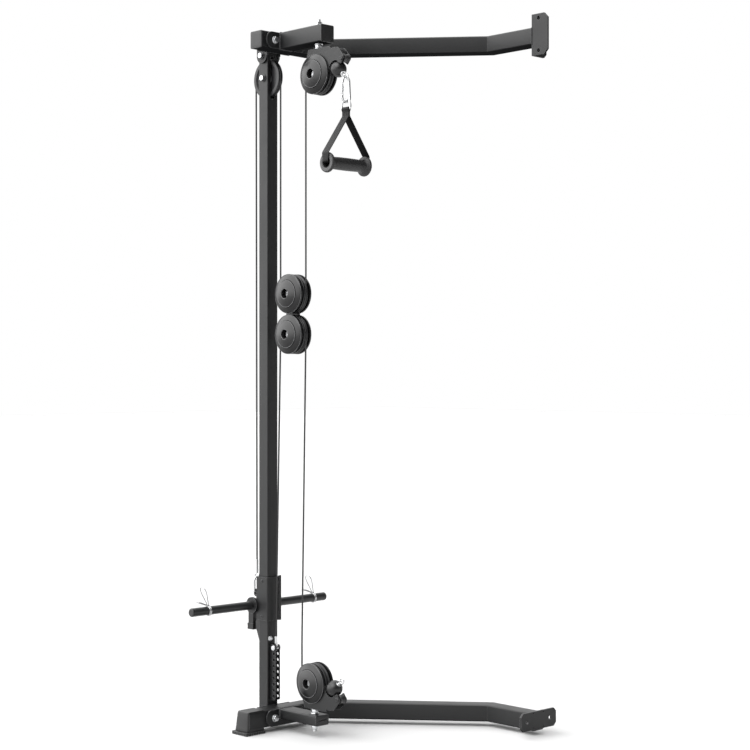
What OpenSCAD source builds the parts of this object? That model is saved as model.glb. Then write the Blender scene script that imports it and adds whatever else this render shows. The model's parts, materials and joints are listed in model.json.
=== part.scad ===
// Plate-loaded cable tower that bolts to one upright of a power rack.
// X runs along the cross tubes, -Y is the side the user stands on, Z is up from the floor.
// The mast axis is the Z axis, and both cables run in the plane X = 0.

/* [Tubes] */
// Side of the square arm tubes
tube = 50; // [45:1:60]
// Side of the square mast tube
mast_side = 40; // [36:1:42]
// Wall of every tube
wall = 2.5; // [2:0.5:3]
// Height of the base tube's underside above the floor
base_z = 15; // [12:1:20]
// Height of the top arm's underside
top_z = 2005; // [1800:5:2200]

/* [Arms] */
// Distance of the cross tubes' centre line in front of the mast axis
arm_offset = 50; // [48:1:60]
// Length of the top cross tube to the left of the mast axis
top_left = 88; // [80:1:120]
// Length of the base cross tube to the left of the mast axis
base_left = 136; // [120:1:150]
// Angle of the long diagonal from the X axis
arm_angle = 49.7; // [40:0.1:55]
// X of the corner where the diagonal starts, on the front face
kink_x = 114; // [100:1:140]
// X of the last, straight stretch's left face
end_x = 451; // [400:1:500]
// Distance from the mast axis to the rack plates
rack_y = 645; // [600:5:700]

/* [Front tubes] */
// Front end of the top front tube
top_front = 259; // [250:1:280]
// Front end of the base front tube
base_front = 237; // [230:1:260]
// Height of the base front tube's section
base_front_h = 30; // [25:1:40]

/* [Pulleys] */
// Radius at which a cable's centre runs round a pulley
pitch_r = 56; // [50:0.5:60]
// Radius of the cable
cable_r = 2.5; // [2:0.1:3]
// Radius of a domed pulley cover
cover_r = 58; // [56:1:60]
// Height of the head pulley's axle
head_z = 1931; // [1900:1:1940]
// Height of the floating block's upper axle
block_z = 1285; // [1100:5:1500]
// Distance between the floating block's axles
block_pitch = 119; // [119:1:130]

/* [Carriage] */
// Height of the carriage sleeve's lower end
carriage_z = 316; // [310:1:340]
// Height of the carriage sleeve
sleeve_h = 129; // [120:1:140]
// Radius of the weight horns
horn_r = 12.5; // [12:0.5:14]
// Distance from the centre to each horn's end
horn_reach = 262; // [240:1:280]

/* [Hidden] */

black = "#35373a";
rubber = "#1d1e20";
steel = "#c9ccd0";

$fn = 64;
gap = 0.3;
rear_face = -arm_offset + tube / 2;
front_face = -arm_offset - tube / 2;
plate_t = 5;
flange_t = 6;
flange_front = front_face - flange_t;
bolt_r = 5;
flange_bolt_x = 44;

wheel_r = pitch_r + 1.5;
groove_r = pitch_r - cable_r - gap;
wheel_half = 8;
bearing_r = 13;
bore_r = bolt_r + 0.05;
plate_in = 11;
plate_out = 15;
cover_seat = plate_out + 0.2;
cover_rim = 20;
cover_dome = 15;
cover_hole = 13.5;

block_y = -2 * pitch_r;
top_pulley_y = block_y - 2 * pitch_r;
bottom_pulley_y = top_pulley_y + 17;
pulley_drop = 90;
bracket_gap = 16;
exit_angle = 38;
exit_run = 62.5;
ball_r = 23.5;
ball_u = pitch_r * sin(exit_angle) + exit_run * cos(exit_angle);
ball_v = pulley_drop - pitch_r * cos(exit_angle) + exit_run * sin(exit_angle);
roller_u = 110;
roller_v = 57;
roller_r = 13.5;
eye_reach = 40;
eye_ring_r = 7.2;
eye_wire = 2;

top_base_z = base_z + tube;
hang_y = top_pulley_y - ball_u - eye_reach * cos(exit_angle);
eye_z = top_z - ball_v - eye_reach * sin(exit_angle);
snap_wire = 3.2;
snap_z = eye_z - (eye_ring_r - eye_wire - snap_wire - 0.6);
snap_h = 72;
snap_half = 15;
snap_high = snap_z - snap_half;
snap_low = snap_z - snap_h + snap_half;
gate_low = snap_low + 7;
gate_high = snap_high - 6;
link_wire = 3;
link_half = 18;
link_corner = 4;
link_h = 26;
link_z = snap_z - snap_h + snap_wire + link_wire + 2 * gap;
grip_z = 1646;
grip_half = 77;

horn_y = mast_side / 2 + 6 + horn_r + 0.1;
horn_z = carriage_z + 42;
lug_y = 52;
lug_z = carriage_z + 76;
clip_left_x = -198;
clip_right_x = 214;
anchor_y = -35;
anchor_z = 236;
hole_pitch = 18;
anchor_top = anchor_z + 34;

// ---------- helpers ----------

// A cylinder along X from x0 to x1, centred on (y, z)
module rod_x(x0, x1, y, z, r) {
    translate([x0, y, z]) rotate([0, 90, 0]) cylinder(h = x1 - x0, r = r);
}

// A cylinder along Y from y0 to y1, centred on (x, z)
module rod_y(y0, y1, x, z, r) {
    translate([x, y1, z]) rotate([90, 0, 0]) cylinder(h = y1 - y0, r = r);
}

// A cylinder along Z from z0 to z1, centred on (x, y)
module rod_z(z0, z1, x, y, r) {
    translate([x, y, z0]) cylinder(h = z1 - z0, r = r);
}

// A straight round bar between two points [y, z] in the plane X = 0
module bar_yz(a, b, r) {
    d = b - a;
    translate([0, a[0], a[1]]) rotate([atan2(d[1], d[0]) - 90, 0, 0]) cylinder(h = norm(d), r = r);
}

// A hexagonal bolt head or nut along X
module hex_x(x0, x1, y, z, flats) {
    translate([x0, y, z]) rotate([0, 90, 0]) cylinder(h = x1 - x0, r = flats / sqrt(3), $fn = 6);
}

module hex_y(y0, y1, x, z, flats) {
    translate([x, y1, z]) rotate([90, 0, 0]) cylinder(h = y1 - y0, r = flats / sqrt(3), $fn = 6);
}

module hex_z(z0, z1, x, y, flats) {
    translate([x, y, z0]) cylinder(h = z1 - z0, r = flats / sqrt(3), $fn = 6);
}

// A plate in the YZ plane, drawn as [y, z] points, from x0 to x1
module plate_yz(x0, x1) {
    translate([x0, 0, 0]) rotate([90, 0, 90]) linear_extrude(x1 - x0) children();
}

// A plate in the XZ plane, drawn as [x, z] points, from y0 to y1
module plate_xz(y0, y1) {
    translate([0, y1, 0]) rotate([90, 0, 0]) linear_extrude(y1 - y0) children();
}

// A square with rounded corners
module rounded(w, h, r) {
    union() {
        square([w - 2 * r, h], center = true);
        square([w, h - 2 * r], center = true);
        for (sx = [-1, 1], sy = [-1, 1]) translate([sx * (w / 2 - r), sy * (h / 2 - r)]) circle(r = r);
    }
}

// An arc of round bar in the plane X = 0, from angle a0 through sweep, measured from +Y towards +Z
module arc_yz(y, z, big_r, r, a0, sweep) {
    translate([0, y, z]) rotate([90, 0, 90]) rotate([0, 0, a0])
        rotate_extrude(angle = sweep) translate([big_r, 0]) circle(r = r, $fn = 24);
}

// The same in the plane Y = y, measured from +X towards +Z
module arc_xz(y, z, big_r, r, a0, sweep) {
    translate([0, y, z]) rotate([90, 0, 0]) rotate([0, 0, a0])
        rotate_extrude(angle = sweep) translate([big_r, 0]) circle(r = r, $fn = 24);
}

// ---------- arms ----------

// A corner's offset from the centre line, for a turn from angle a to angle b
function normal(a) = [sin(a), cos(a)];
function corner(a, b) = (normal(a) + normal(b)) / (1 + normal(a) * normal(b));
kink = [kink_x, front_face] + tube / 2 * corner(0, arm_angle);
bend_x = end_x + tube / 2;
bend = [bend_x, kink[1] - (bend_x - kink[0]) * tan(arm_angle)];
arm_turns = [normal(0), corner(0, arm_angle), corner(arm_angle, 90), normal(90)];
function arm_line(left) = [[-left, -arm_offset], kink, bend, [bend_x, -rack_y]];
function arm_plan(left, w) = concat(
    [for (i = [0:3]) arm_line(left)[i] + w * arm_turns[i]],
    [for (i = [3:-1:0]) arm_line(left)[i] - w * arm_turns[i]]
);

module arm(z, left) {
    difference() {
        translate([0, 0, z]) linear_extrude(tube) polygon(arm_plan(left, tube / 2));
        translate([0, 0, z + wall]) linear_extrude(tube - 2 * wall) polygon(arm_plan(left, tube / 2 - wall));
        for (s = [-1, 1]) rod_y(front_face - 1, rear_face + 1, s * flange_bolt_x, z + tube / 2, bolt_r);
    }
}

module top_arm() {
    color(black) arm(top_z, top_left);
}

module base_arm() {
    color(black) arm(base_z, base_left);
}

// Plastic shoe over the base tube's end, wider at the floor
module foot_cap() {
    color(black) difference() {
        hull() {
            translate([-base_left - 4, -arm_offset - 27, top_base_z + 1]) cube([63, 54, 1]);
            translate([-base_left - 7, -arm_offset - 30, 9]) cube([69, 66, 2]);
        }
        translate([-base_left - 0.1, front_face - 0.1, base_z - 0.1]) cube([100, tube + 0.2, tube + 0.2]);
    }
}

sole_rib = 3;

module foot_sole() {
    color(rubber) difference() {
        translate([-base_left + 21.5, -arm_offset + 4, 0]) linear_extrude(8.9) rounded(73, 68, 4);
        for (i = [-3:3]) translate([-base_left - 16, -arm_offset + 2.5 + i * 9, -1]) cube([4, sole_rib, 8]);
        for (i = [-3:3]) translate([-base_left + 20 + i * 9, -arm_offset - 31, -1]) cube([sole_rib, 4, 8]);
    }
}

// ---------- rack plates ----------

rack_leg = 60;
rack_leg_h = 120;
rack_hole_r = 6;
rack_hole_dx = 51;
rack_hole_dz = 47;
rack_plate_t = 6;

// A plate w by h with its two corners at +X cut off
module cut_plate(w, h, cut) {
    polygon([
        [-w / 2, -h / 2], [w / 2 - cut, -h / 2], [w / 2, -h / 2 + cut],
        [w / 2, h / 2 - cut], [w / 2 - cut, h / 2], [-w / 2, h / 2]
    ]);
}

// Angle bracket: one leg beside the upright, with the bolt holes, and one across the tube's end
module top_rack_bracket() {
    mid_z = top_z + tube / 2 + 2;
    color(black) difference() {
        union() {
            plate_yz(end_x, end_x + rack_plate_t) translate([-rack_y - rack_leg / 2, mid_z])
                mirror([1, 0, 0]) cut_plate(rack_leg, rack_leg_h, 14);
            plate_xz(-rack_y - rack_plate_t, -rack_y) translate([end_x + rack_leg / 2, mid_z])
                cut_plate(rack_leg, rack_leg_h, 10);
        }
        for (s = [-1, 1])
            rod_x(end_x - 1, end_x + rack_plate_t + 1, -rack_y - 26, mid_z + s * rack_hole_dz, rack_hole_r);
    }
}

module base_rack_plate() {
    mid_z = base_z + 29;
    half_w = 78;
    front = -rack_y - rack_plate_t;
    color(black) difference() {
        plate_xz(front, -rack_y) translate([bend_x, mid_z]) difference() {
            square([2 * half_w, 53], center = true);
            for (sx = [-1, 1], sz = [-1, 1]) translate([sx * half_w, sz * 26.5]) rotate(45)
                square(14, center = true);
        }
        for (s = [-1, 1]) {
            rod_y(front - 1, -rack_y + 1, bend_x + s * rack_hole_dx, mid_z, rack_hole_r);
            for (v = [-1, 1]) rod_y(front - 1, -rack_y + 1, bend_x + s * 22, mid_z + v * 21.5, 2.6);
        }
    }
}

// ---------- front tubes ----------

// Flange with rounded ends, and a rectangular tube in front of it
module front_tube(z, h, reach, bolt_y) {
    difference() {
        union() {
            plate_xz(flange_front, front_face) translate([0, z + tube / 2]) rounded(150, tube - 1, 22);
            translate([-tube / 2, -reach, z + tube - h]) cube([tube, reach + flange_front, h]);
        }
        translate([-tube / 2 + wall, -reach - 1, z + tube - h + wall])
            cube([tube - 2 * wall, reach + flange_front + 1, h - 2 * wall]);
        for (s = [-1, 1]) rod_y(flange_front - 1, front_face + 1, s * flange_bolt_x, z + tube / 2, bolt_r);
        rod_z(z - 1, z + tube + 1, 0, bolt_y, 6);
    }
}

module front_cap(z, h, reach) {
    translate([-tube / 2, -reach - 3, z + tube - h]) cube([tube, 3, h]);
    translate([-tube / 2 + wall + 0.2, -reach, z + tube - h + wall + 0.2])
        cube([tube - 2 * wall - 0.4, 8, h - 2 * wall - 0.4]);
}

// Two bolts through flange, cross tube and rear plate
module flange_bolt_pair(z) {
    rear = rear_face + plate_t;
    for (s = [-1, 1]) {
        x = s * flange_bolt_x;
        rod_y(flange_front - 4, rear + 12, x, z, bolt_r);
        rod_y(flange_front - 2.2, flange_front, x, z, 11);
        hex_y(flange_front - 9, flange_front - 2.2, x, z, 17);
        rod_y(rear, rear + 2, x, z, 10);
        hex_y(rear + 2, rear + 10, x, z, 17);
    }
}

module top_front_tube() {
    color(black) front_tube(top_z, tube, top_front, top_pulley_y);
}

module base_front_tube() {
    color(black) front_tube(base_z, base_front_h, base_front, bottom_pulley_y);
}

// Push-in end caps of the top cross tube and of both front tubes
module tube_caps() {
    color(rubber) {
        front_cap(top_z, tube, top_front);
        front_cap(base_z, base_front_h, base_front);
        translate([-top_left - 3, front_face, top_z]) cube([3, tube, tube]);
        translate([-top_left, front_face + 5, top_z + 5]) cube([18, tube - 10, tube - 10]);
    }
}

module flange_bolts() {
    color(steel) for (z = [base_z, top_z]) flange_bolt_pair(z + tube / 2);
}

// ---------- mast ----------

slot_w = 18;
slot_half = 55;
mast_top = top_z + 35;
lug_bolt_z = top_z - 8;

// Square tube with a slot for the head pulley and a foot plate welded to its front
module mast() {
    color(black) difference() {
        union() {
            translate([0, 0, base_z]) linear_extrude(mast_top - base_z) difference() {
                rounded(mast_side, mast_side, 3);
                rounded(mast_side - 2 * wall, mast_side - 2 * wall, 1);
            }
            plate_xz(rear_face, rear_face + plate_t) translate([0, base_z + tube / 2])
                square([124, tube], center = true);
        }
        plate_xz(-mast_side, mast_side) union() {
            translate([-slot_w / 2, head_z - slot_half]) square([slot_w, 2 * slot_half]);
            for (s = [-1, 1]) translate([0, head_z + s * slot_half]) circle(r = slot_w / 2);
        }
        rod_x(-mast_side, mast_side, 0, head_z, bolt_r);
        rod_x(-mast_side, mast_side, 0, lug_bolt_z, bolt_r);
        for (s = [-1, 1])
            rod_y(rear_face - 1, rear_face + plate_t + 1, s * flange_bolt_x, base_z + tube / 2, bolt_r);
    }
}

// Rear plate on the top arm with two rounded lugs that hold the mast's head
module mast_head_bracket() {
    color(black) difference() {
        union() {
            plate_xz(rear_face, rear_face + plate_t) translate([0, top_z + tube / 2])
                square([124, tube], center = true);
            for (s = [-1, 1]) plate_yz(s * 23.1 - 3, s * 23.1 + 3) union() {
                translate([rear_face, lug_bolt_z]) square([22 - rear_face, 50]);
                translate([0, lug_bolt_z]) circle(r = 22);
            }
        }
        rod_x(-40, 40, 0, lug_bolt_z, bolt_r);
        for (s = [-1, 1])
            rod_y(rear_face - 1, rear_face + plate_t + 1, s * flange_bolt_x, top_z + tube / 2, bolt_r);
    }
}

// A bolt along X through something 2 * half wide, with a washer and a nut or head on each side
module cross_bolt(half, y, z) {
    rod_x(-half - 4, half + 11, y, z, bolt_r);
    for (s = [-1, 1]) rod_x(s * (half + 1) - 1, s * (half + 1) + 1, y, z, 10);
    hex_x(-half - 8.5, -half - 2, y, z, 16);
    hex_x(half + 2, half + 10, y, z, 16);
}

// Lug bolt, head axle with its two spacers, anchor pin, and the round-headed bolt above the channel
module mast_bolts() {
    color(steel) {
        cross_bolt(26.1, 0, lug_bolt_z);
        cross_bolt(mast_side / 2, 0, head_z);
        for (s = [-1, 1]) rod_x(s * 12.8 - 4.5, s * 12.8 + 4.5, 0, head_z, 7);
        rod_x(-11, 12, anchor_y, anchor_z, 4.5);
        rod_x(-14, -9.1, anchor_y, anchor_z, 8);
        hex_x(9.1, 13, anchor_y, anchor_z, 13);
        rod_y(-mast_side / 2 - 5, -mast_side / 2, -11, anchor_z + 27, 8);
        rod_y(-mast_side / 2 - 8, -mast_side / 2 - 5, -11, anchor_z + 27, 5.5);
    }
}

// ---------- pulleys ----------

// Grooved wheel with its two bearing rings, axle along X
module wheel_at(y, z) {
    translate([0, y, z]) rotate([0, 90, 0]) rotate_extrude($fn = 96) polygon([
        [bearing_r, -wheel_half], [18, -wheel_half], [20, -3.5], [44, -3.5], [47, -wheel_half],
        [wheel_r - 1, -wheel_half], [wheel_r, -wheel_half + 1], [wheel_r, -5.2], [groove_r, -2.9],
        [groove_r, 2.9], [wheel_r, 5.2], [wheel_r, wheel_half - 1], [wheel_r - 1, wheel_half],
        [47, wheel_half], [44, 3.5], [20, 3.5], [18, wheel_half], [bearing_r, wheel_half]
    ]);
}

// Two ball bearings side by side in the wheel's hub
module bearings_at(y, z) {
    for (s = [-1, 1]) translate([s * 4.1 - 3.9, y, z]) rotate([0, 90, 0]) difference() {
        cylinder(h = 7.8, r = bearing_r);
        translate([0, 0, -1]) cylinder(h = 10, r = bore_r);
    }
}

module pulley_at(y, z) {
    wheel_at(y, z);
    bearings_at(y, z);
}

// Bolt through two side plates, with collars that keep the wheel centred
module axle_at(y, z) {
    rod_x(-21, 24, y, z, bolt_r);
    for (s = [-1, 1]) rod_x(s * 9.6 - 1.3, s * 9.6 + 1.3, y, z, 7);
    hex_x(-22.5, -plate_out - 0.1, y, z, 16);
    hex_x(plate_out + 0.1, 23, y, z, 16);
}

// Domed cover: a shell with a stepped ring and an open hub
function dome(r) = cover_rim + cover_dome * (1 - pow(r / cover_r, 2)) + (r < 40 ? 0.9 : 0);
dome_radii = [cover_r - 1.5, 54, 50, 45, 40.6, 39.9, 36, 30, 24, 18, cover_hole + 1.5];
dome_outer = [for (r = dome_radii) [r, dome(r)]];
dome_inner = [for (r = [16.5, 24, 32, 40, 48, 54]) [r, dome(r) - 3.5]];

module cover_at(y, z, side) {
    translate([0, y, z]) mirror([side < 0 ? 1 : 0, 0, 0]) rotate([0, 90, 0]) rotate_extrude($fn = 96)
        polygon(concat(
            [[cover_r, cover_seat], [cover_r, cover_rim - 1.5]], dome_outer,
            [[cover_hole, dome(cover_hole) - 1.5], [cover_hole, cover_seat], [16.5, cover_seat]], dome_inner,
            [[54, cover_seat]]
        ));
}

module covers_at(y, z) {
    for (s = [-1, 1]) cover_at(y, z, s);
}

// ---------- swivel brackets ----------
// Drawn standing on a tube, with the swivel axis on Z and the front at -Y. The top one is turned over.

// Moves a drawing whose tube face is at Z = 0 to the top or the bottom swivel
module at_swivel(top) {
    if (top) translate([0, top_pulley_y, top_z]) mirror([0, 0, 1]) children();
    else translate([0, bottom_pulley_y, top_base_z]) children();
}

module bracket_plan() {
    difference() {
        union() {
            polygon([
                [29, bracket_gap], [-62, bracket_gap], [-66, 19], [-78, 22], [-96, 24], [-119, 50],
                [-120, 58], [-106, 74], [-62, 84], [-30, 118], [30, 118], [38, 70], [37, 43]
            ]);
            translate([0, pulley_drop]) circle(r = 44);
        }
        translate([-70, 17]) circle(r = 7);
        translate([-ball_u, ball_v]) circle(r = 24);
        translate([-ball_u, ball_v]) rotate(-exit_angle + 180) translate([0, -24]) square([60, 48]);
        translate([0, pulley_drop]) circle(r = bolt_r);
        translate([-roller_u, roller_v]) circle(r = 3);
    }
}

module swivel_bracket() {
    for (s = [-1, 1]) plate_yz(s * 13 - 2, s * 13 + 2) bracket_plan();
    difference() {
        translate([-13, -26, bracket_gap]) cube([26, 50, 4]);
        translate([0, 0, bracket_gap - 1]) cylinder(h = 6, r = 6.05);
    }
}

// Bolt down through the tube, with nuts either side and the bracket turning on its end
module swivel_bolt(tube_h) {
    translate([0, 0, -tube_h - 20]) cylinder(h = tube_h + 20 + 24, r = 6);
    hex_z(-tube_h - 12.5, -tube_h - 2.5, 0, 0, 18);
    rod_z(-tube_h - 2.5, -tube_h, 0, 0, 12);
    rod_z(0, 2.5, 0, 0, 12);
    hex_z(2.5, 12.5, 0, 0, 18);
    rod_z(12.5, bracket_gap - 0.1, 0, 0, 12);
    rod_z(bracket_gap + 4.1, bracket_gap + 6, 0, 0, 11);
    hex_z(bracket_gap + 6, bracket_gap + 12, 0, 0, 18);
}

module roller() {
    translate([-10, -roller_u, roller_v]) rotate([0, 90, 0]) rotate_extrude() polygon([
        [3.05, 0], [roller_r - 1, 0], [roller_r, 1], [roller_r - 1.5, 6], [roller_r - 2, 10],
        [roller_r - 1.5, 14], [roller_r, 19], [roller_r - 1, 20], [3.05, 20]
    ]);
}

module roller_pin() {
    rod_x(-17, 17, -roller_u, roller_v, 3);
    for (s = [-1, 1]) rod_x(s * 16.4 - 1.2, s * 16.4 + 1.2, -roller_u, roller_v, 5);
}

module swivel_bolts() {
    color(steel) {
        at_swivel(true) swivel_bolt(tube);
        at_swivel(false) swivel_bolt(base_front_h);
    }
}

module top_bracket() {
    color(black) at_swivel(true) swivel_bracket();
}

module bottom_bracket() {
    color(black) at_swivel(false) swivel_bracket();
}

module top_covers() {
    color(black) at_swivel(true) covers_at(0, pulley_drop);
}

module bottom_covers() {
    color(black) at_swivel(false) covers_at(0, pulley_drop);
}

module swivel_axles() {
    axle_at(0, pulley_drop);
    roller_pin();
}

module top_axle() {
    color(steel) at_swivel(true) swivel_axles();
}

module bottom_axle() {
    color(steel) at_swivel(false) swivel_axles();
}

module top_pulley() {
    color(rubber) at_swivel(true) pulley_at(0, pulley_drop);
}

module bottom_pulley() {
    color(rubber) at_swivel(false) pulley_at(0, pulley_drop);
}

module top_roller() {
    color(rubber) at_swivel(true) roller();
}

module bottom_roller() {
    color(rubber) at_swivel(false) roller();
}

module head_pulley() {
    color(rubber) pulley_at(0, head_z);
}

// ---------- floating block ----------

module block_plates() {
    color(black) for (s = [-1, 1]) plate_yz(s * 13 - 2, s * 13 + 2) difference() {
        union() {
            translate([block_y - 14, block_z - block_pitch]) square([28, block_pitch]);
            for (k = [0, 1]) translate([block_y, block_z - k * block_pitch]) circle(r = 20);
        }
        for (k = [0, 1]) translate([block_y, block_z - k * block_pitch]) circle(r = bolt_r);
    }
}

module block_covers() {
    color(black) for (k = [0, 1]) covers_at(block_y, block_z - k * block_pitch);
}

module block_axles() {
    color(steel) for (k = [0, 1]) axle_at(block_y, block_z - k * block_pitch);
}

module block_upper_pulley() {
    color(rubber) pulley_at(block_y, block_z);
}

module block_lower_pulley() {
    color(rubber) pulley_at(block_y, block_z - block_pitch);
}

// ---------- anchor and stop ----------

module anchor_channel() {
    low = anchor_z - 8 * hole_pitch - 11;
    high = anchor_z + 10;
    color(black) difference() {
        union() {
            translate([-9, -mast_side / 2 - 3, low]) cube([18, 3, high - low]);
            for (s = [-1, 1]) plate_yz(s * 7.5 - 1.5, s * 7.5 + 1.5) union() {
                translate([-mast_side / 2 - 17, low]) square([17, high - low]);
                translate([-mast_side / 2 - 23, low + 6]) square([7, high - low - 12]);
                for (z = [low + 6, high - 6]) translate([-mast_side / 2 - 17, z]) circle(r = 6);
            }
        }
        for (i = [0:8]) rod_x(-12, 12, anchor_y, anchor_z - i * hole_pitch, 4.5);
    }
}

// Flat eye on the pin, with a swaged stud above it
module anchor_fitting() {
    color(steel) {
        difference() {
            plate_yz(-3, 3) union() {
                translate([anchor_y, anchor_z]) circle(r = 8.5);
                translate([anchor_y - 5, anchor_z]) square([10, 14]);
            }
            rod_x(-4, 4, anchor_y, anchor_z, 4.55);
        }
        rod_z(anchor_z + 13, anchor_top, 0, anchor_y, 4.5);
    }
}

// Tapered stop on the mast's rear face, under the sleeve
module carriage_stop() {
    rear = mast_side / 2;
    color(rubber) plate_yz(-10, 10) polygon([
        [rear, 238], [rear + 4, 238], [rear + 26, 290], [rear + 26, 308], [rear + 20, carriage_z - 1],
        [rear, carriage_z - 1]
    ]);
}

// ---------- carriage ----------

sleeve_out = mast_side / 2 + 6;
liner_half = mast_side / 2 + 2.3;
post_y = 68;
screw_z = [carriage_z + 12, carriage_z + sleeve_h - 12];

// Square sleeve with a strip welded along its front right edge
module carriage_sleeve() {
    color(black) difference() {
        union() {
            translate([0, 0, carriage_z]) linear_extrude(sleeve_h) difference() {
                rounded(2 * sleeve_out, 2 * sleeve_out, 4);
                square(2 * liner_half, center = true);
            }
            translate([sleeve_out - 9, -sleeve_out - 4, carriage_z]) cube([8, 4.2, sleeve_h + 4]);
        }
        for (z = screw_z) rod_x(-sleeve_out - 1, -sleeve_out + 2, 0, z, 4.5);
    }
}

module carriage_screws() {
    color(steel) for (z = screw_z) difference() {
        rod_x(-sleeve_out - 1, -sleeve_out + 2, 0, z, 4.4);
        hex_x(-sleeve_out - 2, -sleeve_out + 1, 0, z, 4);
    }
}

module carriage_liner() {
    color(rubber) translate([0, 0, carriage_z + 3]) linear_extrude(sleeve_h - 6) difference() {
        square(2 * liner_half, center = true);
        square(mast_side + 0.7, center = true);
    }
}

// Block welded to the sleeve's rear: it carries the horns and, above them, the cable's lug
module carriage_saddle() {
    top = horn_z + 18;
    color(black) difference() {
        union() {
            translate([-sleeve_out, sleeve_out, horn_z - 18]) cube([2 * sleeve_out, 27, 36]);
            translate([-13, sleeve_out, horn_z - 18]) cube([26, post_y + 13 - sleeve_out, 6]);
            plate_yz(-3, 3) union() {
                translate([sleeve_out, top - 1]) square([lug_y - sleeve_out, lug_z - top + 10]);
                translate([lug_y, lug_z]) circle(r = 12);
            }
        }
        rod_x(-30, 30, horn_y, horn_z, horn_r);
        rod_x(-10, 10, lug_y, lug_z, 6.5);
    }
}

// Square post with a wider rubber foot, which meets the floor of a loading stack
module carriage_bumper() {
    color(rubber) {
        translate([-11, post_y - 11, carriage_z - 18]) cube([22, 22, horn_z - carriage_z]);
        translate([-13, post_y - 13, carriage_z - 35]) cube([26, 26, 18]);
    }
}

module weight_horns() {
    color(black) rod_x(-horn_reach + 8, horn_reach - 8, horn_y, horn_z, horn_r);
}

module horn_collars() {
    color(black) for (s = [-1, 1]) difference() {
        rod_x(s * 30 - 3.9, s * 30 + 3.9, horn_y, horn_z, 24);
        rod_x(-40, 40, horn_y, horn_z, horn_r);
    }
}

module horn_caps() {
    color(rubber) for (s = [-1, 1]) translate([s * (horn_reach - 8), horn_y, horn_z])
        rotate([0, s * 90, 0]) rotate_extrude()
            polygon([[0, 0], [horn_r, 0], [horn_r, 5], [horn_r - 1, 7], [horn_r - 3, 8], [0, 8]]);
}

// Oval link in the lug, and the cable's eye and swaged stud above it
module carriage_link() {
    eye = lug_z + 47;
    color(steel) {
        for (s = [-1, 1]) rod_z(lug_z + 12.6, eye - 10, s * 10, lug_y, 3.2);
        arc_xz(lug_y, eye - 10, 10, 3.2, 0, 180);
        arc_xz(lug_y, lug_z + 12.6, 10, 3.2, 180, 180);
        arc_yz(lug_y, eye + 2.4, 8.6, 2.4, 0, 360);
        rod_z(eye + 11, eye + 53, 0, lug_y, 4.5);
    }
}

// Spring clip: two turns round the horn and two wire loops that lean to the left
clip_wire = 1.5;
clip_ring = horn_r + clip_wire + 0.3;

module wire_loop(reach) {
    for (s = [-1, 1]) translate([0, s * 7, 0]) cylinder(h = reach, r = clip_wire, $fn = 20);
    translate([0, 0, reach]) rotate([90, 0, 90])
        rotate_extrude(angle = 180) translate([7, 0]) circle(r = clip_wire, $fn = 20);
}

module spring_clip(x) {
    translate([x, horn_y, horn_z]) {
        for (k = [-1, 1]) translate([k * 2.6, 0, 0]) rotate([0, 90, 0])
            rotate_extrude() translate([clip_ring, 0]) circle(r = clip_wire, $fn = 20);
        for (t = [[22, 60], [70, 44]]) translate([0, 0, clip_ring]) rotate([0, -t[0], 0]) wire_loop(t[1]);
    }
}

module clip_left() {
    color(steel) spring_clip(clip_left_x);
}

module clip_right() {
    color(steel) spring_clip(clip_right_x);
}

// ---------- cable ends and handle ----------

// Moves a drawing to the ball's centre, with +Z along the cable's way out
module at_ball() {
    translate([0, -ball_u, ball_v]) rotate([90 - exit_angle, 0, 0]) children();
}

// Rubber ball, hollow where the cable ends inside it
module stop_ball() {
    at_ball() difference() {
        sphere(r = ball_r, $fn = 96);
        translate([0, 0, -ball_r - 1]) cylinder(h = 8, r = cable_r + 0.5);
        translate([0, 0, ball_r - 6]) cylinder(h = 10, r = 8.6);
    }
}

// Chrome collar, stem and ring
module stop_eye() {
    at_ball() {
        translate([0, 0, ball_r - 6]) cylinder(h = 8, r = 8.5);
        translate([0, 0, ball_r]) cylinder(h = eye_reach - ball_r - eye_ring_r + 1, r = 4);
        translate([0, 0, eye_reach]) rotate([90, 0, 90])
            rotate_extrude() translate([eye_ring_r, 0]) circle(r = eye_wire, $fn = 24);
    }
}

module high_ball() {
    color(rubber) at_swivel(true) stop_ball();
}

module high_eye() {
    color(steel) at_swivel(true) stop_eye();
}

module low_ball() {
    color(rubber) at_swivel(false) stop_ball();
}

module low_eye() {
    color(steel) at_swivel(false) stop_eye();
}

// Snap hook: an oval bar with its left side open for the gate
module carabiner() {
    color(steel) {
        rod_z(snap_low, snap_high, snap_half, hang_y, snap_wire);
        rod_z(snap_low, gate_low - 1.6, -snap_half, hang_y, snap_wire);
        rod_z(gate_high + 0.6, snap_high, -snap_half, hang_y, snap_wire);
        arc_xz(hang_y, snap_high, snap_half, snap_wire, 0, 180);
        arc_xz(hang_y, snap_low, snap_half, snap_wire, 180, 180);
    }
}

module carabiner_gate() {
    color(steel) {
        rod_z(gate_low, gate_high, -snap_half, hang_y, 3);
        rod_z(gate_low + 7, gate_low + 21, -snap_half, hang_y, 4.4);
    }
}

// D-shaped link with a straight bar for the strap
module handle_link() {
    low = link_z - link_h;
    arc_z = link_z - link_half;
    flat = link_half - link_corner;
    color(steel) {
        rod_y(hang_y - flat, hang_y + flat, 0, low, link_wire);
        arc_yz(hang_y - flat, low + link_corner, link_corner, link_wire, 180, 90);
        arc_yz(hang_y + flat, low + link_corner, link_corner, link_wire, 270, 90);
        for (s = [-1, 1]) rod_z(low + link_corner, arc_z, 0, hang_y + s * link_half, link_wire);
        arc_yz(hang_y, arc_z, link_half, link_wire, 0, 180);
    }
}

strap_w = 28;
strap_t = 3;
strap_low = link_z - link_h;

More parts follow.
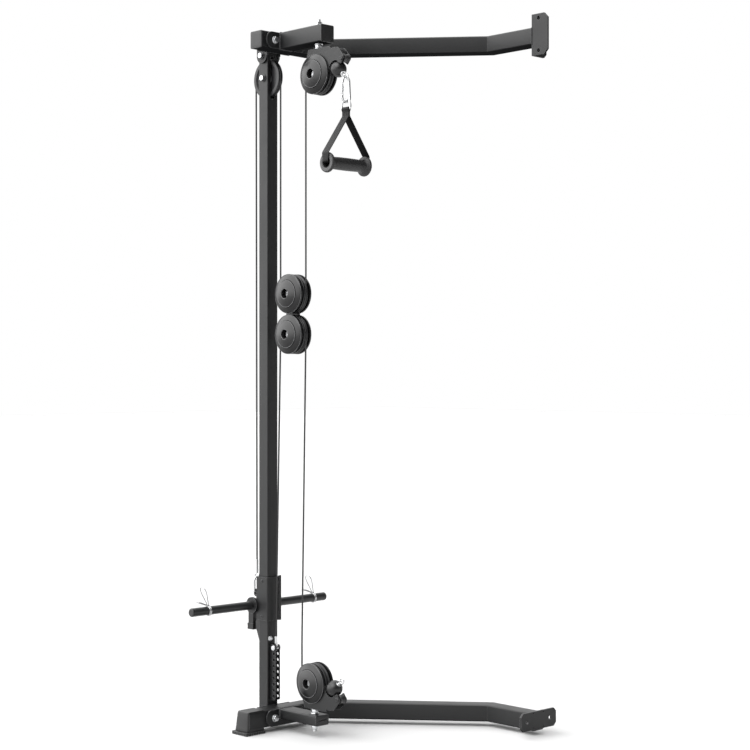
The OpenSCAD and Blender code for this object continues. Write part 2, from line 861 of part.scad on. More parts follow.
// Webbing: round the link's bar, a sewn neck, two legs and a run through the grip's bore
module handle_strap() {
    neck_z = 1783;
    leg_x = grip_half + 0.8;
    foot_z = grip_z + 28;
    low_z = grip_z - strap_t / 2;
    color(rubber) difference() {
        union() {
            rod_y(hang_y - strap_w / 2, hang_y + strap_w / 2, 0, strap_low, link_wire + gap + strap_t);
            plate_xz(hang_y - strap_w / 2, hang_y + strap_w / 2) polygon([
                [-6, strap_low], [6, strap_low], [strap_t + 0.5, neck_z], [leg_x + strap_t, foot_z],
                [leg_x + strap_t, low_z], [leg_x, low_z], [leg_x, foot_z - 1],
                [0, neck_z], [-leg_x, foot_z - 1], [-leg_x, low_z], [-leg_x - strap_t, low_z],
                [-leg_x - strap_t, foot_z], [-strap_t - 0.5, neck_z]
            ]);
            translate([-leg_x - strap_t, hang_y - 11, low_z]) cube([2 * (leg_x + strap_t), 22, strap_t]);
        }
        rod_y(hang_y - 40, hang_y + 40, 0, strap_low, link_wire + gap);
    }
}

module handle_grip() {
    color(rubber) translate([0, hang_y, grip_z]) rotate([0, 90, 0]) rotate_extrude($fn = 96) polygon([
        [13, -grip_half], [25, -grip_half], [27, -grip_half + 2], [27, -grip_half + 8], [24, -grip_half + 10],
        [18.5, -grip_half + 11], [17.5, -grip_half + 16], [17.6, -30], [18.6, 0], [17.6, 30],
        [17.5, grip_half - 16], [18.5, grip_half - 11], [24, grip_half - 10], [27, grip_half - 8],
        [27, grip_half - 2], [25, grip_half], [13, grip_half]
    ]);
}

// ---------- cables ----------

top_pulley_z = top_z - pulley_drop;
bottom_pulley_z = top_base_z + pulley_drop;
block_low_z = block_z - block_pitch;
// Where the riser from the bottom pulley starts
bottom_run = [bottom_pulley_y + pitch_r, bottom_pulley_z];
// The gap that keeps one length of cable apart from the next
cable_seam = 0.1;

module high_cable_rear_run() {
    color(rubber) bar_yz([lug_y, lug_z + 100 + cable_seam], [pitch_r, head_z], cable_r);
}

module high_cable_head_wrap() {
    color(rubber) {
        arc_yz(0, head_z, pitch_r, cable_r, 0, 180);
        rod_z(top_pulley_z, head_z, 0, -pitch_r, cable_r);
    }
}

module high_cable_front_runs() {
    color(rubber) for (y = [-pitch_r, block_y - pitch_r]) rod_z(block_z, top_pulley_z, 0, y, cable_r);
}

module low_cable_runs() {
    color(rubber) {
        bar_yz([anchor_y, anchor_top], [block_y + pitch_r, block_low_z - cable_seam], cable_r);
        bar_yz([bottom_run[0], anchor_top], [block_y - pitch_r, block_low_z - cable_seam], cable_r);
    }
}

module block_cables() {
    color(rubber) {
        arc_yz(block_y, block_z, pitch_r, cable_r, 180, 180);
        arc_yz(block_y, block_low_z, pitch_r, cable_r, 0, 180);
    }
}

// The turn round a swivel pulley and the straight end that runs into the ball
module swivel_cable() {
    run = exit_run - ball_r + 6;
    translate([0, 0, pulley_drop]) rotate([-exit_angle, 0, 0]) {
        arc_yz(0, 0, pitch_r, cable_r, -90, 90 + exit_angle);
        translate([0, 0, -pitch_r]) rotate([90, 0, 0]) cylinder(h = run, r = cable_r);
    }
}

module top_bracket_cable() {
    color(rubber) at_swivel(true) swivel_cable();
}

module bottom_bracket_cable() {
    color(rubber) {
        at_swivel(false) swivel_cable();
        rod_z(bottom_run[1] + cable_seam, anchor_top - cable_seam, 0, bottom_run[0], cable_r);
    }
}

mast();
mast_head_bracket();
mast_bolts();
head_pulley();
top_arm();
top_rack_bracket();
top_front_tube();
tube_caps();
flange_bolts();
base_arm();
foot_cap();
foot_sole();
base_rack_plate();
base_front_tube();
anchor_channel();
anchor_fitting();
carriage_stop();
swivel_bolts();
top_bracket();
top_covers();
top_axle();
top_pulley();
top_roller();
top_bracket_cable();
bottom_bracket();
bottom_covers();
bottom_axle();
bottom_pulley();
bottom_roller();
bottom_bracket_cable();
block_plates();
block_covers();
block_axles();
block_upper_pulley();
block_lower_pulley();
block_cables();
carriage_sleeve();
carriage_liner();
carriage_screws();
carriage_saddle();
carriage_bumper();
weight_horns();
horn_collars();
horn_caps();
carriage_link();
clip_left();
clip_right();
high_ball();
high_eye();
low_ball();
low_eye();
carabiner();
carabiner_gate();
handle_link();
handle_strap();
handle_grip();
high_cable_rear_run();
high_cable_head_wrap();
high_cable_front_runs();
low_cable_runs();
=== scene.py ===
import json
import math
import bmesh
import bpy
from mathutils import Matrix, Vector


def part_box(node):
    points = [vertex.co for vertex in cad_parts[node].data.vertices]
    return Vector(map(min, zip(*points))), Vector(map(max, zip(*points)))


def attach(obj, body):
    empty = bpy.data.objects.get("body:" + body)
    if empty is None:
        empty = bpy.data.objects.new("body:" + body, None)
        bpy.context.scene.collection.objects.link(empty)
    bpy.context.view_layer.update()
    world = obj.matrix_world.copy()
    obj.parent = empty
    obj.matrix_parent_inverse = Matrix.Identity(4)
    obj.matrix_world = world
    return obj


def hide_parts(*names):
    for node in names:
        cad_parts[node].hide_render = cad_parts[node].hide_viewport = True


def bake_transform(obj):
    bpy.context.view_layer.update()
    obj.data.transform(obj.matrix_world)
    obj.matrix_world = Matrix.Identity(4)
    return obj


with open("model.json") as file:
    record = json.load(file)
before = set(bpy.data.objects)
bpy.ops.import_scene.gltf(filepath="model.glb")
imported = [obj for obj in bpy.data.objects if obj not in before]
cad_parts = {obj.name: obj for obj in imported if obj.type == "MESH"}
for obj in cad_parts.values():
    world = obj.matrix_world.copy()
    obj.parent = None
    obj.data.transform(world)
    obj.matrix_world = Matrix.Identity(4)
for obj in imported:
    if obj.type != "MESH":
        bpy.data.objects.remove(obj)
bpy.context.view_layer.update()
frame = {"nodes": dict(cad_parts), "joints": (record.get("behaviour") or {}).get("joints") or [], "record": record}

nodes = frame["nodes"]


def joint(name):
    return next(j for j in frame["joints"] if j["name"] == name)


def middle(node):
    low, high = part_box(node)
    return (low + high) / 2


# ---------- places taken from the frame ----------

TOP_WHEEL = Vector(joint("top_wheel_spin")["pos_m"])
BOTTOM_WHEEL = Vector(joint("bottom_wheel_spin")["pos_m"])
HEAD_WHEEL = Vector(joint("head_wheel_spin")["pos_m"])
UPPER_WHEEL = Vector(joint("block_upper_spin")["pos_m"])
LOWER_WHEEL = Vector(joint("block_lower_spin")["pos_m"])
ROLLER_TOP = Vector(joint("top_roller_spin")["pos_m"])
ROLLER_LOW = Vector(joint("bottom_roller_spin")["pos_m"])
OUT_TOP = Vector(joint("high_pull")["axis"])
OUT_LOW = Vector(joint("low_pull")["axis"])
HOOK = Vector(joint("hook_swing")["pos_m"])
GATE = Vector(joint("gate_press")["pos_m"])
LINK_AT = Vector(joint("handle_swing")["pos_m"])
GRIP_AT = Vector(joint("grip_spin")["pos_m"])

# The radius of the cable's centre line on a pulley, and the angle it leaves at below or above the level
PITCH_R = 0.056
EXIT = math.radians(38)
LEAVE_TOP = TOP_WHEEL + PITCH_R * Vector((0, -math.sin(EXIT), math.cos(EXIT)))
LEAVE_LOW = BOTTOM_WHEEL + PITCH_R * Vector((0, -math.sin(EXIT), -math.cos(EXIT)))

# The straight cable from there to the middle of the ball stop
EXIT_RUN = 0.0625
TOP_BALL = LEAVE_TOP + EXIT_RUN * OUT_TOP
LOW_BALL = LEAVE_LOW + EXIT_RUN * OUT_LOW


# ---------- camera, floor, light ----------

LENS = 81.15
CAMERA_AT = (-3.293, -3.8435, 1.0593)
CAMERA_TURN = -44.2
HORIZON_SHIFT = -0.0057
SKY_DARK = 0.18
SKY_LEFT = 2.4
SKY_WALL = (-0.62, 0.42, 0.62)


def make_camera():
    data = bpy.data.cameras.new("camera")
    data.lens = LENS
    data.sensor_width = 36
    data.shift_y = HORIZON_SHIFT
    camera = bpy.data.objects.new("camera", data)
    camera.location = CAMERA_AT
    camera.rotation_euler = (math.radians(90), 0, math.radians(CAMERA_TURN))
    bpy.context.scene.collection.objects.link(camera)
    bpy.context.scene.camera = camera


def make_sky():
    """White behind the machine, darker behind the camera, and one bright soft wall up on the left."""
    world = bpy.data.worlds.new("studio")
    world.use_nodes = True
    tree = world.node_tree
    place = tree.nodes.new("ShaderNodeTexCoord")
    parts = []
    for toward, low, high, dark, bright in (
        ((0, 1, 0), -0.35, 0.45, SKY_DARK, 1.0),
        (SKY_WALL, 0.15, 0.95, 0.0, SKY_LEFT),
    ):
        dot = tree.nodes.new("ShaderNodeVectorMath")
        dot.operation = "DOT_PRODUCT"
        dot.inputs[1].default_value = Vector(toward).normalized()
        tree.links.new(place.outputs["Generated"], dot.inputs[0])
        ramp = tree.nodes.new("ShaderNodeMapRange")
        ramp.interpolation_type = "SMOOTHSTEP"
        for key, value in zip(("From Min", "From Max", "To Min", "To Max"), (low, high, dark, bright)):
            ramp.inputs[key].default_value = value
        tree.links.new(dot.outputs["Value"], ramp.inputs["Value"])
        parts.append(ramp)
    total = tree.nodes.new("ShaderNodeMath")
    tree.links.new(parts[0].outputs["Result"], total.inputs[0])
    tree.links.new(parts[1].outputs["Result"], total.inputs[1])
    back = tree.nodes["Background"]
    back.inputs["Color"].default_value = (1, 1, 1, 1)
    tree.links.new(total.outputs[0], back.inputs["Strength"])
    bpy.context.scene.world = world


def make_sun(name, source, angle, power):
    data = bpy.data.lights.new(name, "SUN")
    data.angle = math.radians(angle)
    data.energy = power
    light = bpy.data.objects.new(name, data)
    light.rotation_euler = Vector(source).to_track_quat("Z", "Y").to_euler()
    bpy.context.scene.collection.objects.link(light)


def make_studio():
    bpy.context.scene.view_settings.view_transform = "Standard"
    make_sky()
    make_sun("key", (-0.75, -0.15, 0.85), 45, 1.1)
    make_sun("top", (0.1, 0.3, 1.0), 80, 0.4)
    floor = piece("floor", [(-30, -30, 0), (30, -30, 0), (30, 30, 0), (-30, 30, 0)], [(0, 1, 2, 3)], FLOOR)


# ---------- materials ----------

def socket(shader, name, value):
    shader.inputs[name].default_value = value


def make_material(name, colour, rough, metal=0.0, grain=1500.0, bump=0.00003, blotch=0.12, edge=None,
                  edge_width=0.0009, coat=0.0, weave=None, sheen=0.0, specular=0.5, tint=0.25, under=None):
    """Grain bump, cloudy roughness and colour, and edges painted lighter as a highlight; weave adds crossed threads
    of that pitch.
    Faces that look down get painted shade: their shine falls to the under value, standing in for the dimmer light
    they catch."""
    m = bpy.data.materials.new(name)
    m.use_nodes = True
    tree = m.node_tree
    shader = tree.nodes["Principled BSDF"]
    socket(shader, "Metallic", metal)
    socket(shader, "Coat Weight", coat)
    socket(shader, "Sheen Weight", sheen)
    socket(shader, "Specular IOR Level", specular)

    def add(kind, **values):
        n = tree.nodes.new(kind)
        for key, value in values.items():
            if key in n.inputs:
                n.inputs[key].default_value = value
            else:
                setattr(n, key, value)
        return n

    def join(a, out, b, into):
        tree.links.new(a.outputs[out], b.inputs[into])

    place = add("ShaderNodeTexCoord")
    fine = add("ShaderNodeTexNoise", Scale=grain, Detail=3.0)
    cloud = add("ShaderNodeTexNoise", Scale=9.0, Detail=5.0)
    join(place, "Object", fine, "Vector")
    join(place, "Object", cloud, "Vector")
    spread = add("ShaderNodeMapRange")
    for key, value in zip(("From Min", "From Max", "To Min", "To Max"),
                          (0.3, 0.7, max(0.03, rough - blotch / 2), min(1.0, rough + blotch / 2))):
        spread.inputs[key].default_value = value
    join(cloud, "Fac", spread, "Value")
    join(spread, "Result", shader, "Roughness")
    pale = tuple(min(1.0, c * (1 + tint)) for c in colour)
    mix = add("ShaderNodeMix", data_type="RGBA")
    mix.inputs[6].default_value = (*colour, 1)
    mix.inputs[7].default_value = (*pale, 1)
    join(cloud, "Fac", mix, 0)
    bevel = add("ShaderNodeBevel", samples=4)
    bevel.inputs["Radius"].default_value = edge_width
    height = fine
    out = "Fac"
    if weave:
        warp = add("ShaderNodeTexWave", bands_direction="Y", Scale=1 / (weave * 6.28), Distortion=0.4)
        weft = add("ShaderNodeTexWave", bands_direction="Z", Scale=1 / (weave * 6.28), Distortion=0.4)
        join(place, "Object", warp, "Vector")
        join(place, "Object", weft, "Vector")
        height = add("ShaderNodeMath", operation="MAXIMUM")
        join(warp, "Fac", height, 0)
        join(weft, "Fac", height, 1)
        out = 0
    relief = add("ShaderNodeBump", Strength=0.7, Distance=bump)
    join(height, out, relief, "Height")
    join(bevel, "Normal", relief, "Normal")
    join(relief, "Normal", shader, "Normal")
    # Painted highlight: the colour is mixed towards the edge colour along edges, lighter than the face.
    if edge:
        shape = add("ShaderNodeNewGeometry")
        dot = add("ShaderNodeVectorMath", operation="DOT_PRODUCT")
        join(bevel, "Normal", dot, 0)
        join(shape, "Normal", dot, 1)
        painted_edge_highlight = add("ShaderNodeMapRange")
        for key, value in zip(("From Min", "From Max", "To Min", "To Max"), (0.995, 0.82, 0.0, 0.8)):
            painted_edge_highlight.inputs[key].default_value = value
        join(dot, "Value", painted_edge_highlight, "Value")
        edge_highlight_mix = add("ShaderNodeMix", data_type="RGBA")
        edge_highlight_mix.inputs[7].default_value = (*edge, 1)
        join(painted_edge_highlight, "Result", edge_highlight_mix, 0)
        tree.links.new(mix.outputs[2], edge_highlight_mix.inputs[6])
        mix = edge_highlight_mix
    tree.links.new(mix.outputs[2], shader.inputs["Base Color"])
    # Painted shade: the shine fades from specular to under as the face turns down.
    if under is not None:
        facing = add("ShaderNodeNewGeometry")
        split = add("ShaderNodeSeparateXYZ")
        join(facing, "Normal", split, 0)
        painted_down_shade = add("ShaderNodeMapRange")
        for key, value in zip(("From Min", "From Max", "To Min", "To Max"), (0.05, -0.6, specular, under)):
            painted_down_shade.inputs[key].default_value = value
        join(split, "Z", painted_down_shade, "Value")
        join(painted_down_shade, "Result", shader, "Specular IOR Level")
    return m


# The under values below are painted shade: faces that look down get less shine.
FLOOR = make_material("floor", (0.57, 0.57, 0.57), 0.8, grain=60, bump=0.0001, tint=0.02, specular=0.1)
# The edge colours below paint a highlight along edges.
COAT = make_material("powder_coat", (0.0085, 0.0087, 0.009), 0.42, grain=1300, bump=0.00006,
                     edge=(0.2, 0.2, 0.205), edge_width=0.0013, specular=0.42, under=0.0)
BAR = make_material("horn_bar", (0.013, 0.0135, 0.014), 0.36, grain=900, edge=(0.08, 0.08, 0.08))
ZINC = make_material("zinc", (0.56, 0.57, 0.58), 0.28, 1.0, grain=700, bump=0.00002, edge=(0.8, 0.8, 0.8))
CHROME = make_material("chrome", (0.56, 0.565, 0.57), 0.07, 1.0, grain=260, bump=0.000004, blotch=0.05)
SPRING = make_material("spring_wire", (0.44, 0.44, 0.445), 0.25, 1.0, grain=500, bump=0.00001, blotch=0.06)
COVER = make_material("cover_plastic", (0.006, 0.006, 0.0062), 0.3, grain=2200, bump=0.00002, blotch=0.05,
                      under=0.12)
# A pale colour for the painted highlight lines on the pulley covers.
COVER_HIGHLIGHT = make_material("cover_painted_highlight", (0.16, 0.16, 0.165), 0.35, grain=2200, bump=0.00002)
SOLE = make_material("sole_rubber", (0.012, 0.012, 0.012), 0.5, grain=1100, bump=0.00005, edge=(0.3, 0.3, 0.3))
NYLON = make_material("pulley_nylon", (0.010, 0.010, 0.011), 0.42, grain=1200, bump=0.00003)
PLASTIC = make_material("plain_plastic", (0.009, 0.009, 0.0093), 0.42, grain=1800, bump=0.00004,
                        edge=(0.05, 0.05, 0.05))
RUBBER = make_material("rubber", (0.006, 0.006, 0.0062), 0.32, grain=1100, bump=0.00005)
GRIP = make_material("grip_rubber", (0.009, 0.009, 0.0092), 0.5, grain=1500, bump=0.00008)
RING = make_material("grip_ring", (0.045, 0.045, 0.046), 0.45, grain=1500, bump=0.00005)
WEB = make_material("webbing", (0.006, 0.006, 0.0062), 0.6, weave=0.0014, bump=0.0002, specular=0.3, under=0.02)
JACKET = make_material("cable_jacket", (0.012, 0.012, 0.0125), 0.35, grain=500, bump=0.00002)
THREAD = make_material("thread", (0.03, 0.03, 0.031), 0.7, grain=3000, bump=0.00005)

# The nodes whose surface differs from the rest of their slot
OWN_FINISH = {"foot_sole": SOLE, "carriage_screws": COAT}
FINISH = {
    "powder_coat": COAT, "horn_bar": BAR, "zinc": ZINC, "chrome": CHROME, "cover_plastic": COVER,
    "pulley_nylon": NYLON, "plain_plastic": PLASTIC, "rubber": RUBBER, "grip_rubber": GRIP,
    "webbing": WEB, "cable_jacket": JACKET,
}


def finish_cad_nodes():
    for part in frame["record"]["subparts"]:
        mesh = nodes[part["node"]].data
        mesh.materials.clear()
        mesh.materials.append(OWN_FINISH.get(part["node"], FINISH[part["material_slot"]]))


# ---------- mesh helpers ----------

SHARP = math.radians(32)


def piece(name, points, faces, material):
    mesh = bpy.data.meshes.new(name)
    mesh.from_pydata([tuple(p) for p in points], [], faces)
    work = bmesh.new()
    work.from_mesh(mesh)
    bmesh.ops.remove_doubles(work, verts=work.verts, dist=1e-7)
    bmesh.ops.recalc_face_normals(work, faces=work.faces)
    work.to_mesh(mesh)
    work.free()
    mesh.validate()
    mesh.shade_smooth()
    mesh.set_sharp_from_angle(angle=SHARP)
    mesh.materials.append(material)
    thing = bpy.data.objects.new(name, mesh)
    bpy.context.scene.collection.objects.link(thing)
    return thing


def loft_data(sections, closed=False, caps=True):
    """Points and faces of a skin through rings that have the same number of points."""
    count = len(sections[0])
    points = [p for ring in sections for p in ring]
    faces = []
    last = len(sections) if closed else len(sections) - 1
    for i in range(last):
        a = i * count
        b = ((i + 1) % len(sections)) * count
        for k in range(count):
            n = (k + 1) % count
            faces.append((a + k, a + n, b + n, b + k))
    if caps and not closed:
        faces.append(tuple(reversed(range(count))))
        faces.append(tuple(range(len(points) - count, len(points))))
    return points, faces


def joined(name, parts, material):
    points = []
    faces = []
    for some_points, some_faces in parts:
        start = len(points)
        points += some_points
        faces += [tuple(i + start for i in face) for face in some_faces]
    return piece(name, points, faces, material)


def rounded(width, height, radius, steps=5):
    """Outline of a rounded rectangle round the origin, anticlockwise."""
    out = []
    for cx, cy, start in ((1, 1, 0), (-1, 1, 90), (-1, -1, 180), (1, -1, 270)):
        for i in range(steps + 1):
            a = math.radians(start + 90 * i / steps)
            out.append((cx * (width / 2 - radius) + radius * math.cos(a),
                        cy * (height / 2 - radius) + radius * math.sin(a)))
    return out


def lathe_data(profile, centre, axis="X", steps=96):
    """Turns (along, radius) points round an axis through centre; the profile is a closed outline."""
    sections = []
    for i in range(steps):
        a = 2 * math.pi * i / steps
        ring = []
        for along, radius in profile:
            x, y, z = along, radius * math.cos(a), radius * math.sin(a)
            if axis == "Y":
                x, y, z = radius * math.cos(a), along, -radius * math.sin(a)
            elif axis == "Z":
                x, y, z = radius * math.cos(a), radius * math.sin(a), -along
            ring.append((centre[0] + x, centre[1] + y, centre[2] + z))
        sections.append(ring)
    return loft_data(sections, closed=True)


def fillet(corners, radius, steps=6):
    """A 3-D polyline with its inner corners rounded."""
    out = [Vector(corners[0])]
    for before, at, after in zip(corners, corners[1:], corners[2:]):
        before, at, after = Vector(before), Vector(at), Vector(after)
        a = (before - at).normalized()
        b = (after - at).normalized()
        half = a.angle(b) / 2
        cut = min(radius / math.tan(half), 0.48 * (before - at).length, 0.48 * (after - at).length)
        for i in range(steps + 1):
            t = i / steps
            out.append(at + a * cut * (1 - t) ** 2 + b * cut * t ** 2)
    out.append(Vector(corners[-1]))
    return out


def arc(centre, radius, start, sweep, plane="YZ", steps=24):
    """Points on an arc; angles run from +Y (or +X) towards +Z."""
    out = []
    for i in range(steps + 1):
        a = math.radians(start + sweep * i / steps)
        u, v = radius * math.cos(a), radius * math.sin(a)
        out.append(Vector(centre) + (Vector((0, u, v)) if plane == "YZ" else Vector((u, 0, v))))
    return out


def tube_data(path, radius, sides=14, closed=False, ripple=None):
    """A round bar along a path; ripple gives a radius for each point."""
    path = [Vector(p) for p in path]
    count = len(path)
    sections = []
    side = None
    for i, p in enumerate(path):
        before = path[i - 1] if i or closed else p
        after = path[(i + 1) % count] if i + 1 < count or closed else p
        along = (after - before).normalized()
        if side is None:
            side = along.orthogonal().normalized()
        side = (side - along * side.dot(along)).normalized()
        up = along.cross(side)
        r = ripple[i] if ripple else radius
        sections.append([p + r * (math.cos(a) * side + math.sin(a) * up)
                         for a in (2 * math.pi * k / sides for k in range(sides))])
    return loft_data(sections, closed=closed)


def between(a, b, step):
    a, b = Vector(a), Vector(b)
    count = max(2, round((b - a).length / step))
    return [a.lerp(b, i / count) for i in range(count + 1)]


def turned(parts, matrix):
    return [([matrix @ Vector(p) for p in points], faces) for points, faces in parts]


# ---------- fasteners ----------

def hex_data(flats, low, high, chamfer=0.0009):
    """A hexagonal head along Z with chamfered corners."""
    r = flats / math.sqrt(3)
    sections = []
    for z, k in ((low, 0.94), (low + chamfer, 1.0), (high - chamfer, 1.0), (high, 0.88)):
        ring = []
        for i in range(6):
            for t in (0.0, 0.08, 0.5, 0.92):
                a = math.radians(60 * (i + t))
                b = math.radians(30 - 60 * t)
                ring.append((r * math.cos(math.radians(30)) / math.cos(b) * math.cos(a),
                             r * math.cos(math.radians(30)) / math.cos(b) * math.sin(a)))
        limit = r * k if k < 1 else r * 2
        out = []
        for x, y in ring:
            size = min(1.0, limit / math.hypot(x, y))
            out.append((x * size, y * size, z))
        sections.append(out)
    return loft_data(sections)


def disc_data(radius, low, high, edge=0.0005, steps=48):
    """A washer or a bolt's shank along Z with softened edges."""
    sections = []
    for z, r in ((low, radius - edge), (low + edge, radius), (high - edge, radius), (high, radius - edge)):
        sections.append([(r * math.cos(a), r * math.sin(a), z)
                         for a in (2 * math.pi * k / steps for k in range(steps))])
    return loft_data(sections)


def thread_data(radius, low, high, pitch=0.0015, steps=36):
    """A threaded end: rings that follow the thread's crests and roots."""
    sections = []
    count = max(2, round((high - low) / pitch) * 2)
    for i in range(count + 1):
        r = radius - (0.0006 if i % 2 else 0)
        z = low + (high - low) * i / count
        sections.append([(r * math.cos(a), r * math.sin(a), z)
                         for a in (2 * math.pi * k / steps for k in range(steps))])
    return loft_data(sections)


def along_axis(place, axis):
    """A matrix that takes +Z to an axis at a place."""
    return Matrix.Translation(place) @ Vector((0, 0, 1)).rotation_difference(Vector(axis)).to_matrix().to_4x4()


# The front face of the front tubes' flanges, and the back of the mast's plate that their bolts go through
FRONT = -0.081
REAR = -0.020
FLANGE_BOLT_X = 0.044
ARM_MIDDLES = (0.040, 2.030)


def make_flange_bolts():
    parts = []
    washers = []
    for z in ARM_MIDDLES:
        for x in (-FLANGE_BOLT_X, FLANGE_BOLT_X):
            head = along_axis((x, FRONT, z), (0, -1, 0))
            tail = along_axis((x, REAR, z), (0, 1, 0))
            parts += turned([hex_data(0.017, 0.0022, 0.009), thread_data(0.005, -0.002, 0.004)], head)
            parts += turned([hex_data(0.017, 0.002, 0.010), thread_data(0.005, 0.0, 0.012)], tail)
            washers += turned([disc_data(0.011, 0.0, 0.0022)], head)
            washers += turned([disc_data(0.010, 0.0, 0.002)], tail)
    bolts = joined("flange_bolt_set", parts + washers, ZINC)
    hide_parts("flange_bolts")
    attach(bolts, "root")


def make_swivel_bolts():
    parts = []
    for name, sign, height in (("top_swivel", -1, 0.050), ("bottom_swivel", 1, 0.030)):
        m = along_axis(joint(name)["pos_m"], (0, 0, sign))
        parts += turned([
            thread_data(0.006, -height - 0.020, -height - 0.012),
            disc_data(0.006, -height - 0.012, 0.020),
            hex_data(0.018, -height - 0.0125, -height - 0.0025),
            disc_data(0.012, -height - 0.0025, -height),
            disc_data(0.012, 0.0, 0.0025),
            hex_data(0.018, 0.0025, 0.0125),
            disc_data(0.012, 0.0125, 0.0159),
            disc_data(0.011, 0.0201, 0.022),
            hex_data(0.018, 0.022, 0.028),
        ], m)
    bolts = joined("swivel_bolt_set", parts, ZINC)
    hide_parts("swivel_bolts")
    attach(bolts, "root")


LUG_HALF = 0.0261
LUG_BOLT_Z = 1.997
MAST_HALF = 0.020
ANCHOR = Vector((0, -0.035, 0.236))


def cross_bolt(half, y, z):
    """Bolt along X: the left head, the right nut and thread, and a dark washer under each."""
    left = along_axis((-half, y, z), (-1, 0, 0))
    right = along_axis((half, y, z), (1, 0, 0))
    bright = turned([hex_data(0.015, 0.002, 0.0085)], left)
    bright += turned([hex_data(0.016, 0.002, 0.010), thread_data(0.005, -0.002, 0.0155)], right)
    bright += turned([disc_data(0.005, -2 * half - 0.001, 0.001)], right)
    dark = turned([disc_data(0.0115, 0.0, 0.002)], left) + turned([disc_data(0.0115, 0.0, 0.002)], right)
    return bright, dark


def make_mast_bolts():
    bright = []
    dark = []
    for half, z in ((LUG_HALF, LUG_BOLT_Z), (MAST_HALF, HEAD_WHEEL.z)):
        a, b = cross_bolt(half, 0, z)
        bright += a
        dark += b
    for side in (-1, 1):
        spacer = along_axis((side * 0.0128, 0, HEAD_WHEEL.z), (1, 0, 0))
        dark += turned([disc_data(0.007, -0.0045, 0.0045)], spacer)
    pin = along_axis(ANCHOR, (-1, 0, 0))
    bright += turned([disc_data(0.0045, -0.012, 0.0095), disc_data(0.008, 0.0092, 0.014, 0.0018)], pin)
    bright += turned([hex_data(0.013, 0.0092, 0.013)], along_axis(ANCHOR, (1, 0, 0)))
    head = along_axis((-0.011, -MAST_HALF, ANCHOR.z + 0.027), (0, -1, 0))
    bright += turned([disc_data(0.008, 0.0, 0.005, 0.0022), disc_data(0.0055, 0.0045, 0.008, 0.002)], head)
    bolts = joined("mast_bolt_set", bright, ZINC)
    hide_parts("mast_bolts")
    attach(bolts, "root")
    washers = joined("mast_bolt_washers", dark, COAT)
    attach(washers, "root")


# ---------- horn clips ----------

HORN = Vector((0, 0.0386, 0.358))
HORN_R = 0.0125
CLIP_WIRE = 0.0014
CLIP_RING = HORN_R + CLIP_WIRE + 0.0004
COIL_LENGTH = 0.0088
COIL_TURNS = 3
COIL_STEPS = 144

# The lean outwards in degrees and the reach of each squeeze loop
CLIP_LOOPS = ((22, 0.060), (70, 0.044))
LOOP_WIDTH = 0.17
LOOP_FOOT = 0.0035
LOOP_STEPS = 40


def make_clips():
    """Three turns of spring wire round the horn, and two squeeze loops of unlike length that lean outwards."""
    for name, node, body, x in (("left_spring_clip", "clip_left", "left_clip", -0.198),
                                ("right_spring_clip", "clip_right", "right_clip", 0.214)):
        at = Vector((x, HORN.y, HORN.z))
        coil = []
        for i in range(COIL_STEPS + 1):
            t = i / COIL_STEPS
            a = math.radians(90 + 360 * COIL_TURNS * t)
            coil.append(at + Vector((COIL_LENGTH * (t - 0.5), CLIP_RING * math.cos(a), CLIP_RING * math.sin(a))))
        parts = [tube_data(coil, CLIP_WIRE, 10)]
        for lean, reach in CLIP_LOOPS:
            out = Vector((-math.sin(math.radians(lean)), 0, math.cos(math.radians(lean))))
            wide = LOOP_WIDTH * reach
            loop = []
            for i in range(LOOP_STEPS + 1):
                t = i / LOOP_STEPS
                across = -LOOP_FOOT * math.cos(math.pi * t) - wide * math.sin(2 * math.pi * t)
                loop.append(out * reach * math.sin(math.pi * t) ** 0.7 + Vector((0, across, 0)))
            foot = at + Vector((0, 0, CLIP_RING))
            parts.append(tube_data([foot + p for p in loop], CLIP_WIRE, 10))
        clip = joined(name, parts, SPRING)
        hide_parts(node)
        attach(clip, body)


# ---------- steel frame ----------

def normal(angle):
    return Vector((math.sin(math.radians(angle)), math.cos(math.radians(angle))))


def corner(a, b):
    na, nb = normal(a), normal(b)
    return (na + nb) / (1 + na.dot(nb))


# The arms: a square tube along X, a stretch at ARM_ANGLE to it, and an end along Y to the rack
TUBE = 0.050
ARM_ANGLE = 49.7
ARM_Y = -0.050
KINK_X = 0.114
END_X = 0.451
RACK_Y = -0.645
TOP_ARM_Z = 2.005
BASE_ARM_Z = 0.015
TOP_LEFT = -0.088
BASE_LEFT = -0.136

# The front tubes: how far each one reaches, and the lower one's height
TOP_REACH = -0.259
BASE_REACH = -0.237
BASE_TUBE = 0.030


def arm_data(left, z, radius=0.0045):
    """The bent square tube, swept along the arm's centre line with mitred corners."""
    turns = [normal(0), corner(0, ARM_ANGLE), corner(ARM_ANGLE, 90), normal(90)]
    kink = Vector((KINK_X, ARM_Y - TUBE / 2)) + TUBE / 2 * turns[1]
    bend_x = END_X + TUBE / 2
    bend = Vector((bend_x, kink.y - (bend_x - kink.x) * math.tan(math.radians(ARM_ANGLE))))
    line = [Vector((left, ARM_Y)), kink, bend, Vector((bend_x, RACK_Y))]
    section = rounded(TUBE, TUBE, radius)
    sections = []
    for p, turn in zip(line, turns):
        sections.append([(p.x + a * turn.x, p.y + a * turn.y, z + TUBE / 2 + b) for a, b in section])
    return loft_data(sections)


def weld_data(width, height, centre):
    """A rippled bead round a rectangular tube where it meets a plate across Y."""
    corners = rounded(width + 0.001, height + 0.001, 0.004, 4)
    bead_step = 0.0012
    path = []
    for (x0, y0), (x1, y1) in zip(corners, corners[1:] + corners[:1]):
        steps = max(1, round(math.hypot(x1 - x0, y1 - y0) / bead_step))
        path += [(x0 + (x1 - x0) * i / steps, y0 + (y1 - y0) * i / steps) for i in range(steps)]
    points = [Vector(centre) + Vector((x, 0, y)) for x, y in path]
    ripple = [0.0019 + 0.0004 * math.sin(i * 1.9) for i in range(len(points))]
    return tube_data(points, 0.002, 8, closed=True, ripple=ripple)


